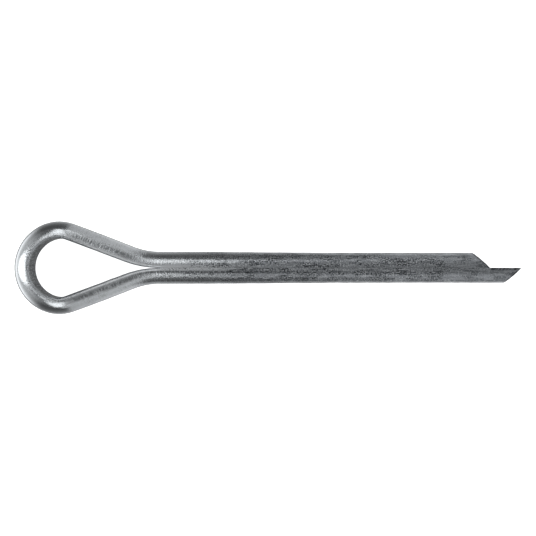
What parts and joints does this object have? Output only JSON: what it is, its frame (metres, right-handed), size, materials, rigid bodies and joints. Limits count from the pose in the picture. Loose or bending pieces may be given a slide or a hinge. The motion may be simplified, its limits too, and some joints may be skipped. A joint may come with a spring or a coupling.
{
  "type": "cotter pin",
  "caption": "Cotter pin folded from half-round steel wire: a teardrop eye, a round split shank, and one leg longer than the other for bending over.",
  "frame": {"origin": "point on the shank's axis where the two legs first meet, under the eye", "axes": "+X along the shank, from the eye to the tips; +Z square to the eye's plane, upwards as the pin lies flat; +Y towards the short leg"},
  "size_m": [0.0723, 0.013, 0.0046],
  "materials": {
    "plated_steel": "bright zinc plate over drawn low-carbon steel wire, glossy in the eye and dull and pitted along the legs"
  },
  "bodies": {
    "root": {"split_pin": "plated_steel"}
  },
  "joints": []
}
